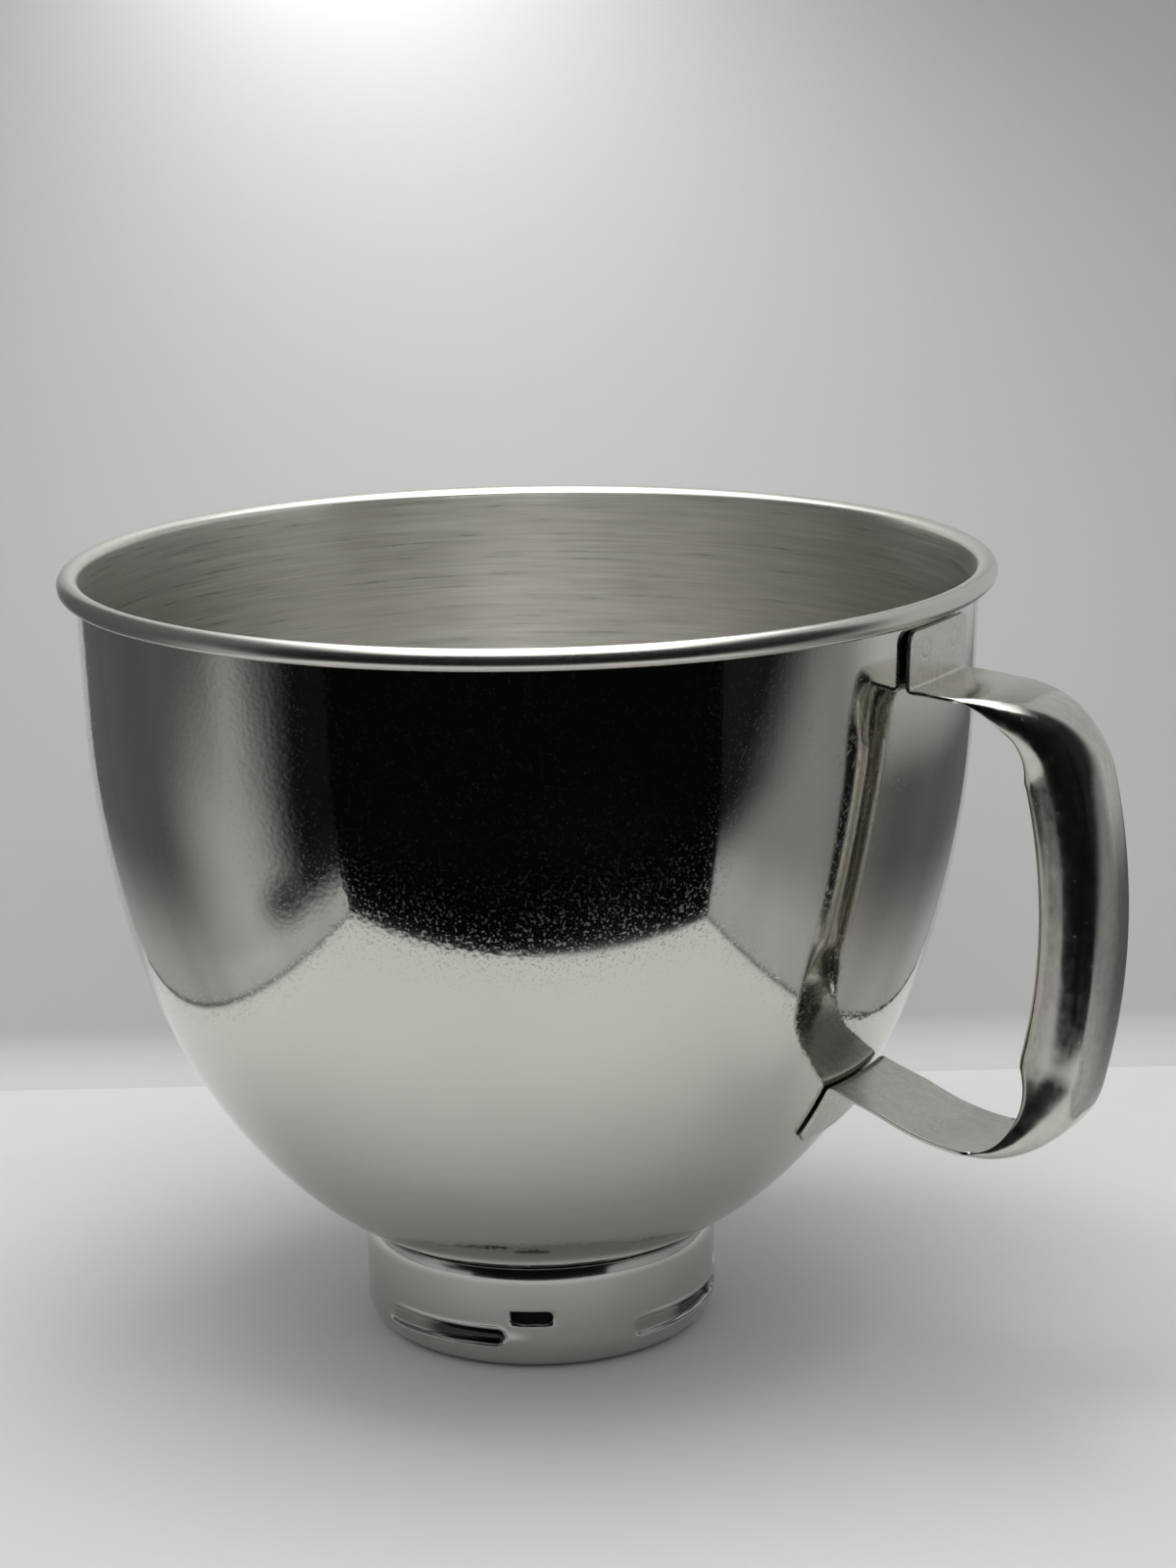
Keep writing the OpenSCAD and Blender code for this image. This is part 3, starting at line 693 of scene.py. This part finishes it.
class Shade:
    """A node material with short ways to add and link nodes."""

    def __init__(self, name, **sockets):
        self.material = bpy.data.materials.new(name)
        self.material.use_nodes = True
        self.tree = self.material.node_tree
        self.shader = self.tree.nodes["Principled BSDF"]
        for socket, value in sockets.items():
            self.shader.inputs[socket.replace("_", " ")].default_value = value
        self.where = self.node("ShaderNodeTexCoord").outputs["Object"]

    def node(self, kind, inputs=None, **settings):
        made = self.tree.nodes.new(kind)
        for key, value in settings.items():
            setattr(made, key, value)
        for key, value in (inputs or {}).items():
            if isinstance(value, bpy.types.NodeSocket):
                self.tree.links.new(value, made.inputs[key])
            else:
                made.inputs[key].default_value = value
        return made

    def math(self, operation, a, b=0.0, c=0.0, clamp=False):
        inputs = {0: a, 1: b}
        if operation in ("MULTIPLY_ADD", "SMOOTH_MIN"):
            inputs[2] = c
        return self.node("ShaderNodeMath", inputs, operation=operation, use_clamp=clamp).outputs[0]

    def hypot(self, a, b):
        squares = (self.math("MULTIPLY", v, v) for v in (a, b))
        return self.math("SQRT", self.math("ADD", *squares))

    def xyz(self):
        return self.node("ShaderNodeSeparateXYZ", {0: self.where}).outputs

    def scaled(self, x, y, z, turn=(0, 0, 0)):
        """The object's coordinates, in metres, turned and then scaled to cycles per metre."""
        inputs = {"Vector": self.where, "Rotation": turn}
        turned = self.node("ShaderNodeVectorRotate", inputs, rotation_type="EULER_XYZ")
        made = self.node("ShaderNodeVectorMath", {0: turned.outputs[0], 1: (x, y, z)}, operation="MULTIPLY")
        return made.outputs[0]

    def around(self, low, high):
        """Coordinates for marks that run round the axis: slow along them, fast across them."""
        split = self.xyz()
        across = self.math("MULTIPLY", self.math("ADD", self.hypot(*split[:2]), split[2]), high)
        low_x, low_y = (self.math("MULTIPLY", s, low) for s in split[:2])
        return self.node("ShaderNodeCombineXYZ", {0: low_x, 1: low_y, 2: across}).outputs[0]

    def noise(self, vector, scale=1.0, detail=2.0, roughness=0.5, distortion=0.0):
        inputs = {"Vector": vector, "Scale": scale, "Detail": detail, "Roughness": roughness}
        return self.node("ShaderNodeTexNoise", inputs | {"Distortion": distortion}).outputs["Fac"]

    def mapped(self, value, low, high, to_low=0.0, to_high=1.0, kind="LINEAR"):
        inputs = {"Value": value, "From Min": low, "From Max": high, "To Min": to_low, "To Max": to_high}
        return self.node("ShaderNodeMapRange", inputs, interpolation_type=kind).outputs[0]

    def spread(self, noise, to_low=0.0, to_high=1.0):
        """A noise's usual range, from 0.3 to 0.7, mapped to another."""
        return self.mapped(noise, 0.3, 0.7, to_low, to_high)

    def eased(self, value, low, high, to_low=0.0, to_high=1.0):
        return self.mapped(value, low, high, to_low, to_high, "SMOOTHSTEP")

    def blob(self, y, z, centre, size, level):
        """Soft round patch of a level in the plane of y and z."""
        offsets = (self.math("SUBTRACT", v, c) for v, c in zip((y, z), centre, strict=True))
        dy, dz = (self.math("MULTIPLY", v, 1 / w) for v, w in zip(offsets, size, strict=True))
        return self.eased(self.hypot(dy, dz), 0.0, 1.0, level, 0.0)

    def colours(self, factor, a, b):
        made = self.node("ShaderNodeMix", data_type="RGBA")
        for key, value in (("Factor_Float", factor), ("A_Color", a), ("B_Color", b)):
            socket = next(s for s in made.inputs if s.identifier == key)
            if isinstance(value, bpy.types.NodeSocket):
                self.tree.links.new(value, socket)
            else:
                socket.default_value = (*value, 1.0)
        return next(s for s in made.outputs if s.identifier == "Result_Color")

    def bump(self, height, strength, distance, normal=None):
        inputs = {"Height": height, "Strength": strength, "Distance": distance}
        if normal is not None:
            inputs["Normal"] = normal
        return self.node("ShaderNodeBump", inputs).outputs[0]

    def hairlines(self, turn):
        """Sparse scratches along one direction: 1 on a scratch and 0 off it."""
        along = 1 / (HAIR_PITCH * HAIR_STRETCH)
        fine = self.noise(self.scaled(1 / HAIR_PITCH, 1 / HAIR_PITCH, along, turn), 1.0, 0.0)
        return self.mapped(fine, 1 - HAIR_AMOUNT, 1 - HAIR_AMOUNT + 0.02)

    def use(self, socket, value):
        self.tree.links.new(value, self.shader.inputs[socket])


def polished_outside():
    """Mirror polish with patches of orange peel, hairlines and a few scratches, and a satin bead."""
    s = Shade("bowl_polished_steel", Metallic=1.0)
    broad = s.noise(s.where, 16.0, 2.0)
    s.use("Base Color", s.colours(s.spread(broad), *OUTSIDE_STEEL))
    hair = [s.hairlines(turn) for turn in HAIR_TURNS]
    marks = s.math("ADD", s.math("ADD", hair[0], hair[1]), hair[2], clamp=True)
    height = s.xyz()[2]
    bead = s.eased(height, BEAD_LOW_Z * MM, (BEAD_LOW_Z + 0.4) * MM)
    off_bead = s.math("SUBTRACT", 1.0, bead)
    marks = s.math("MULTIPLY", marks, off_bead)
    rough = s.math("MULTIPLY_ADD", marks, 0.12, s.spread(broad, 0.05, 0.10))
    s.use("Roughness", s.math("MULTIPLY_ADD", bead, 0.2, rough))
    # droplets and orange peel in patches, and a faint waviness everywhere
    patches = s.eased(s.noise(s.where, 11.0, 1.0), 0.46, 0.62, 0.06, 1.0)
    peeled = s.math("MULTIPLY", s.noise(s.where, 800.0, 0.5, 0.5), s.math("MULTIPLY", patches, off_bead))
    lines = s.noise(s.around(6.0, 2600.0), 1.0, 3.0, 0.7)
    upright = s.noise(s.scaled(900.0, 900.0, 30.0), 1.0, 2.0)
    near_rim = s.math("MULTIPLY", s.eased(height, 0.125, 0.175), off_bead)
    n = s.bump(s.math("MULTIPLY", lines, off_bead), 0.25, 4 * MICRON)
    n = s.bump(s.math("MULTIPLY", upright, near_rim), 1.0, 7 * MICRON, n)
    n = s.bump(peeled, 1.0, 26 * MICRON, n)
    n = s.bump(marks, 0.5, 4 * MICRON, n)
    s.use("Normal", n)
    return s.material


def brushed_inside():
    """Satin brushed round the axis, a little warmer than the outside."""
    s = Shade("bowl_brushed_steel", Metallic=1.0, Anisotropic=0.8, Anisotropic_Rotation=0.25)
    s.use("Tangent", s.node("ShaderNodeTangent", direction_type="RADIAL", axis="Z").outputs[0])
    lines = s.noise(s.around(20.0, 1900.0), 1.0, 3.0, 0.7)
    strokes = s.noise(s.around(45.0, 700.0), 1.0, 2.0, 0.6)
    tone = s.math("MULTIPLY_ADD", strokes, 0.4, s.math("MULTIPLY", lines, 0.6))
    s.use("Base Color", s.colours(s.spread(tone), *INSIDE_STEEL))
    s.use("Roughness", s.spread(tone, 0.25, 0.37))
    s.use("Normal", s.bump(tone, 0.2, 20 * MICRON))
    return s.material


def foot_finish():
    """Polished, with faint lines round the foot, a slight orange peel, and painted shade in the grooves and
    round the slots.
    """
    s = Shade("foot_steel_finish", Metallic=1.0)
    lines = s.noise(s.around(10.0, 1500.0), 1.0, 3.0, 0.7)
    broad = s.noise(s.where, 60.0, 2.0)
    x, y, z = s.xyz()
    # painted shade: darker wherever the sheet lies inward of the foot's outer skin above the grooves' bottom,
    # so in the pressed grooves, round the slots and on the foot's inside
    groove_shade = s.math("MULTIPLY", s.eased(s.hypot(x, y), 0.0427, 0.0418), s.eased(z, 0.0060, 0.0072))
    s.use("Base Color", s.colours(groove_shade, s.colours(broad, *FOOT_STEEL), GROOVE_SHADE))
    s.use("Roughness", s.spread(broad, 0.09, 0.15))
    n = s.bump(lines, 0.4, 6 * MICRON)
    s.use("Normal", s.bump(s.noise(s.where, 500.0, 1.0), 0.3, 12 * MICRON, n))
    return s.material


def handle_finish():
    """Polished like the bowl, rougher near the bowl, with faint lengthwise lines and shallow pits."""
    s = Shade("handle_steel_finish", Metallic=1.0)
    grain = s.noise(s.scaled(160.0, 2600.0, 160.0), 1.0, 3.0, 0.7)
    broad = s.noise(s.where, 60.0, 2.0)
    fine = s.noise(s.where, 420.0, 3.0, 0.65)
    near_bowl = s.eased(s.xyz()[0], 0.120, 0.106)
    worn = s.math("MULTIPLY_ADD", fine, 0.35, s.math("MULTIPLY", broad, 0.25))
    worn = s.math("MULTIPLY_ADD", grain, 0.4, worn)
    s.use("Base Color", s.colours(s.mapped(worn, 0.36, 0.64), *HANDLE_STEEL))
    pits = s.mapped(s.noise(s.where, 1500.0, 1.0), 0.70, 0.78)
    rough = s.math("MULTIPLY_ADD", near_bowl, 0.12, s.mapped(worn, 0.36, 0.64, 0.11, 0.22))
    s.use("Roughness", s.math("MULTIPLY_ADD", pits, 0.1, rough))
    n = s.bump(s.noise(s.where, 110.0, 1.0), 0.5, 120 * MICRON)
    n = s.bump(grain, 0.3, 6 * MICRON, n)
    s.use("Normal", s.bump(pits, -0.3, 20 * MICRON, n))
    return s.material


def weld_finish():
    """Dull, grainy metal of the spot welds."""
    s = Shade("weld_metal_finish", Metallic=1.0)
    grain = s.noise(s.where, 1800.0, 3.0, 0.6)
    s.use("Base Color", s.colours(grain, *WELD_METAL))
    s.use("Roughness", s.spread(grain, 0.4, 0.65))
    s.use("Normal", s.bump(grain, 0.7, 60 * MICRON))
    return s.material


# ---- studio: a small light box
BOX_TURN = radians(31.8)  # from the light box's own axes to the object's
BOX_LEFT, BOX_RIGHT = -0.205, 0.186
BOX_BACK, BOX_FRONT = 0.190, -0.226
BOX_FRONT_BOW = 0.029
BOX_TOP = 0.40
COVE_R, COVE_STEPS = 0.014, 12
FLOOR_BACK = BOX_BACK - COVE_R
STAGE_HALF = 3.0  # the floor and the backdrop go on this far
BACKDROP_HEIGHTS = (0.1, 0.2, 0.3, 0.4, 0.6, 1.2)
BEHIND_Z = -0.0002  # of the floor behind the backdrop
# width and inset of the dark glowing strips of painted shade in the creases at the floor and the back
CREASE_SHADE_W, CREASE_SHADE_INSET = 0.0028, 0.0006
FLOOR_COLOUR, BACKDROP_COLOUR, PAPER_DARKEST = (0.74, 0.74, 0.735), (0.635, 0.635, 0.63), 0.985
# soft patches of painted light and painted shade on the left side: centre (y, z), size and tone
LEFT_LIT = ((-0.095, 0.083), (0.085, 0.085), 0.30)
LEFT_LIT_STREAK = ((-0.106, 0.150), (0.030, 0.060), 0.13)
LEFT_FOLD_SHADE = ((-0.138, 0.044), (0.045, 0.024), -0.85)
# glows of the dark sheet that stands in for the darkness beyond the open front, and of the strips of painted
# shade in the creases
FRONT_DARKNESS_TONE, CREASE_SHADE_TONE = 0.002, 0.03
SKY_LOW, SKY_HIGH = 0.09, 0.98  # tone at the horizon and overhead


def in_box(x, y, z):
    c, s = cos(BOX_TURN), sin(BOX_TURN)
    return (c * x - s * y, s * x + c * y, z)


def stage_mesh(name, points, faces, material, camera=True, glossy=True, diffuse=True, shadow=True):
    mesh = bpy.data.meshes.new(name)
    mesh.from_pydata([in_box(*p) for p in points], [], faces)
    mesh.materials.append(material)
    mesh.polygons.foreach_set("use_smooth", np.ones(len(faces), bool))
    made = bpy.data.objects.new(name, mesh)
    bpy.context.scene.collection.objects.link(made)
    made.visible_camera, made.visible_glossy = camera, glossy
    made.visible_diffuse, made.visible_shadow = diffuse, shadow
    made.visible_transmission = made.visible_volume_scatter = False


def paper(name, colour):
    """Pale matt sheet with a faint mottle."""
    s = Shade(name, Roughness=0.9, Specular_IOR_Level=0.2)
    mottle = s.noise(s.where, 18.0, 3.0)
    s.use("Base Color", s.colours(mottle, tuple(c * PAPER_DARKEST for c in colour), colour))
    return s


def one_sided(s):
    """Lets a sheet be seen through from behind."""
    nodes, links = s.tree.nodes, s.tree.links
    clear, mix = nodes.new("ShaderNodeBsdfTransparent"), nodes.new("ShaderNodeMixShader")
    links.new(nodes.new("ShaderNodeNewGeometry").outputs["Backfacing"], mix.inputs[0])
    links.new(s.shader.outputs[0], mix.inputs[1])
    links.new(clear.outputs[0], mix.inputs[2])
    links.new(mix.outputs[0], nodes["Material Output"].inputs["Surface"])
    return s


def glow(name, build):
    """A sheet that only gives light back, in the tone that build(shade) returns."""
    s = Shade(name)
    shine = s.node("ShaderNodeEmission", {"Color": build(s), "Strength": 1.0})
    s.tree.links.new(shine.outputs[0], s.tree.nodes["Material Output"].inputs["Surface"])
    s.material.cycles.emission_sampling = "NONE"
    return s.material


def quads(rows, columns):
    """Faces between rows of points, each row with the same number of points."""
    starts = [j * columns + i for j in range(rows - 1) for i in range(columns - 1)]
    return [(a, a + 1, a + 1 + columns, a + columns) for a in starts]


def grid(a, b, c, steps=1, bow=(0, 0, 0)):
    """Points and faces of a sheet from corner a along a to b, in steps and bowed, and along a to c."""
    a, b, c, bow = (np.array(p, float) for p in (a, b, c, bow))
    points = []
    for corner in (a, c):
        for i in range(steps + 1):
            points.append(tuple(corner + (b - a) * i / steps + bow * (1 - (2 * i / steps - 1) ** 2)))
    return points, quads(2, steps + 1)


def box_axes(s):
    """A point's coordinates along the light box's own axes."""
    inputs = {"Vector": s.where, "Axis": (0, 0, 1), "Angle": -BOX_TURN}
    turned = s.node("ShaderNodeVectorRotate", inputs, rotation_type="AXIS_ANGLE")
    return s.node("ShaderNodeSeparateXYZ", {0: turned.outputs[0]}).outputs


def grey(s, tone):
    return s.node("ShaderNodeCombineColor", {0: tone, 1: tone, 2: tone}).outputs[0]


def side_base(s, z):
    """Painted tone of a side's glowing cloth: painted shade higher up, with faint folds painted as light and
    shade.
    """
    painted_folds = s.spread(s.noise(s.scaled(16.0, 16.0, 5.0), 1.0, 2.0), 0.88, 1.12)
    return s.math("MULTIPLY", s.eased(z, 0.085, 0.012, 0.105, 0.36), painted_folds)


def left_tone(s):
    """Painted light and shade: lit in the middle and by the floor at the front, with a brighter streak, and
    painted shade in a fold low down and at the front end.
    """
    _, y, z = box_axes(s)
    base = side_base(s, z)
    lit, lit_streak, fold_shade = (s.blob(y, z, *patch) for patch in (LEFT_LIT, LEFT_LIT_STREAK, LEFT_FOLD_SHADE))
    near_floor = s.math("MULTIPLY", s.eased(y, -0.02, -0.06), s.eased(z, 0.032, 0.016, 0.0, 0.1))
    front_shade = s.math("MAXIMUM", s.eased(y, -0.182, -0.125, 0.06, 1.0), s.eased(z, 0.050, 0.020))
    tone = s.math("ADD", s.math("ADD", base, lit), s.math("ADD", lit_streak, near_floor))
    tone = s.math("MULTIPLY", s.math("MULTIPLY", tone, s.math("ADD", fold_shade, 1.0)), front_shade)
    return grey(s, tone)


def right_tone(s):
    """Lit low down at the front under a slanting edge, dark above that edge, and light high at the back."""
    _, y, z = box_axes(s)
    base = side_base(s, z)
    slant = s.math("MULTIPLY", s.math("ADD", y, 0.190), 1.05)
    over = s.math("SUBTRACT", s.math("SUBTRACT", z, 0.080), slant)
    ahead = s.eased(y, -0.030, -0.120)
    lit = s.math("MULTIPLY", s.eased(over, 0.020, -0.030, 0.0, 0.14), ahead)
    lit = s.math("MULTIPLY", lit, s.eased(z, 0.0, 0.06, 0.25, 1.0))
    high = s.math("MULTIPLY", s.eased(z, 0.110, 0.150, 0.0, 0.38), s.eased(y, -0.100, -0.050))
    dark = s.math("MULTIPLY", s.eased(over, -0.005, 0.040), s.math("MULTIPLY", ahead, -0.9))
    tone = s.math("MULTIPLY", s.math("ADD", base, s.math("ADD", lit, high)), s.math("ADD", dark, 1.0))
    return grey(s, tone)


def roof_tone(s):
    """Bright above the middle and dimmer towards both sides."""
    aside = s.math("ABSOLUTE", box_axes(s)[0])
    return grey(s, s.eased(aside, 0.08, 0.18, 2.7, 0.3))


def flat_tone(level, spread=0.15):
    """One level with a soft unevenness."""

    def build(s):
        soft = s.noise(s.scaled(8.0, 8.0, 3.0), 1.0, 2.0)
        return grey(s, s.spread(soft, (1 - spread) * level, (1 + spread) * level))

    return build


def area_light(name, at, size, power, spread=pi):
    """A light that faces down and is not itself seen."""
    light = bpy.data.lights.new(name, "AREA")
    light.shape = "RECTANGLE"
    light.size, light.size_y = size
    light.energy = power
    light.spread = spread
    made = bpy.data.objects.new(name, light)
    made.location = in_box(*at)
    made.visible_camera = made.visible_glossy = False
    bpy.context.scene.collection.objects.link(made)


def build_paper():
    """The floor, and a backdrop that rises from it in a small cove and is not seen from behind."""
    near = grid((-STAGE_HALF, -STAGE_HALF, 0), (STAGE_HALF, -STAGE_HALF, 0), (-STAGE_HALF, FLOOR_BACK, 0))
    stage_mesh("floor", *near, paper("floor_paper", FLOOR_COLOUR).material)
    turns = [pi / 2 * i / COVE_STEPS for i in range(COVE_STEPS + 1)]
    line = [(FLOOR_BACK + COVE_R * sin(a), COVE_R - COVE_R * cos(a)) for a in turns]
    line += [(BOX_BACK, z) for z in BACKDROP_HEIGHTS]
    xs = np.linspace(-STAGE_HALF, STAGE_HALF, 13)
    points = [(x, y, z) for y, z in line for x in xs]
    backdrop = one_sided(paper("backdrop_paper", BACKDROP_COLOUR)).material
    stage_mesh("backdrop", points, quads(len(line), len(xs)), backdrop, shadow=False)
    left_end, right_end = (-STAGE_HALF, FLOOR_BACK, BEHIND_Z), (STAGE_HALF, FLOOR_BACK, BEHIND_Z)
    far = grid(left_end, right_end, (-STAGE_HALF, STAGE_HALF, BEHIND_Z))
    stage_mesh("floor_behind", *far, paper("floor_paper_behind", FLOOR_COLOUR).material)


def build_sides():
    """The light box's cloth as glowing sheets of painted light and shade, which only the steel reflects, with
    dark glowing strips of painted shade in the creases at the floor and the back.
    """
    only_glossy = {"camera": False, "diffuse": False, "shadow": False}
    roof_front = BOX_FRONT - BOX_FRONT_BOW
    for side, x, tone in (("left", BOX_LEFT, left_tone), ("right", BOX_RIGHT, right_tone)):
        cloth = grid((x, BOX_FRONT, 0), (x, BOX_BACK, 0), (x, BOX_FRONT, BOX_TOP))
        stage_mesh(side + "_side", *cloth, glow(side + "_side_tone", tone), **only_glossy)
    # a faintly glowing dark sheet: painted darkness beyond the box's open front
    left_end, right_end = (BOX_LEFT, BOX_FRONT, 0), (BOX_RIGHT, BOX_FRONT, 0)
    front_shade = grid(left_end, right_end, (BOX_LEFT, BOX_FRONT, BOX_TOP), 24, (0, -BOX_FRONT_BOW, 0))
    stage_mesh("painted_dark_front", *front_shade, glow("painted_dark_front_tone", flat_tone(FRONT_DARKNESS_TONE)), **only_glossy)
    left_end, right_end = (BOX_LEFT, roof_front, BOX_TOP), (BOX_RIGHT, roof_front, BOX_TOP)
    roof = grid(left_end, right_end, (BOX_LEFT, BOX_BACK, BOX_TOP))
    stage_mesh("roof", *roof, glow("roof_tone", roof_tone), **only_glossy)

    # dark glowing strips: painted shade in the creases where the sides meet the floor and the back
    crease_shade = glow("crease_shade_tone", flat_tone(CREASE_SHADE_TONE))
    crease_shade_front = BOX_BACK - CREASE_SHADE_W
    for side, x in (("left", BOX_LEFT + CREASE_SHADE_INSET), ("right", BOX_RIGHT - CREASE_SHADE_INSET)):
        strip = grid((x, BOX_FRONT, 0), (x, BOX_BACK, 0), (x, BOX_FRONT, CREASE_SHADE_W))
        stage_mesh(side + "_floor_crease_shade", *strip, crease_shade, **only_glossy)
        strip = grid((x, crease_shade_front, 0), (x, BOX_BACK, 0), (x, crease_shade_front, BOX_TOP))
        stage_mesh(side + "_corner_crease_shade", *strip, crease_shade, **only_glossy)


def build_lights():
    area_light("roof_light", (0.0, -0.02, BOX_TOP - 0.004), (0.30, 0.30), power=0.74, spread=radians(125))
    area_light("back_strip", (-0.045, 0.13, BOX_TOP - 0.006), (0.10, 0.04), power=0.20)


def build_sky():
    """Soft light from above, dim towards the horizon."""
    world = bpy.data.worlds.new("studio_world")
    world.use_nodes = True
    nodes, links = world.node_tree.nodes, world.node_tree.links
    split, tone = nodes.new("ShaderNodeSeparateXYZ"), nodes.new("ShaderNodeMapRange")
    links.new(nodes.new("ShaderNodeTexCoord").outputs["Generated"], split.inputs[0])
    links.new(split.outputs[2], tone.inputs["Value"])
    tone.inputs["To Min"].default_value, tone.inputs["To Max"].default_value = SKY_LOW, SKY_HIGH
    links.new(tone.outputs[0], nodes["Background"].inputs["Color"])
    nodes["Background"].inputs["Strength"].default_value = 1.0
    bpy.context.scene.world = world


CAMERA_BACK, CAMERA_UP = 0.8174, 0.3350
CAMERA_PITCH, CAMERA_YAW, CAMERA_ROLL = radians(13.81), radians(0.946), radians(-0.91)
CAMERA_LENS = 80.08


def build_camera():
    """The photo's own viewpoint, given along the light box's axes."""
    level = Vector((sin(CAMERA_YAW), cos(CAMERA_YAW), 0))
    forward = cos(CAMERA_PITCH) * level - sin(CAMERA_PITCH) * Vector((0, 0, 1))
    right = Vector((cos(CAMERA_YAW), -sin(CAMERA_YAW), 0))
    up = right.cross(forward)
    c, s = cos(CAMERA_ROLL), sin(CAMERA_ROLL)
    right, up = c * right + s * up, c * up - s * right
    right, up, forward = (Vector(in_box(*v)) for v in (right, up, forward))
    camera = bpy.data.cameras.new("camera")
    camera.lens = CAMERA_LENS
    camera.sensor_width = 36.0
    camera.clip_start, camera.clip_end = 0.01, 20
    made = bpy.data.objects.new("camera", camera)
    turn = Matrix((right, up, -forward)).transposed()
    made.matrix_world = Matrix.Translation(in_box(0, -CAMERA_BACK, CAMERA_UP)) @ turn.to_4x4()
    bpy.context.scene.collection.objects.link(made)
    bpy.context.scene.camera = made


build_bowl(polished_outside(), brushed_inside())
build_foot(foot_finish())
build_handle(handle_finish())
weld = weld_finish()
for name in ("upper_handle_welds", "lower_handle_welds", "foot_welds"):
    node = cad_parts[name]
    node.data.materials.clear()
    node.data.materials.append(weld)
build_paper()
build_sides()
build_lights()
build_sky()
build_camera()
bpy.context.scene.view_settings.view_transform = "Standard"
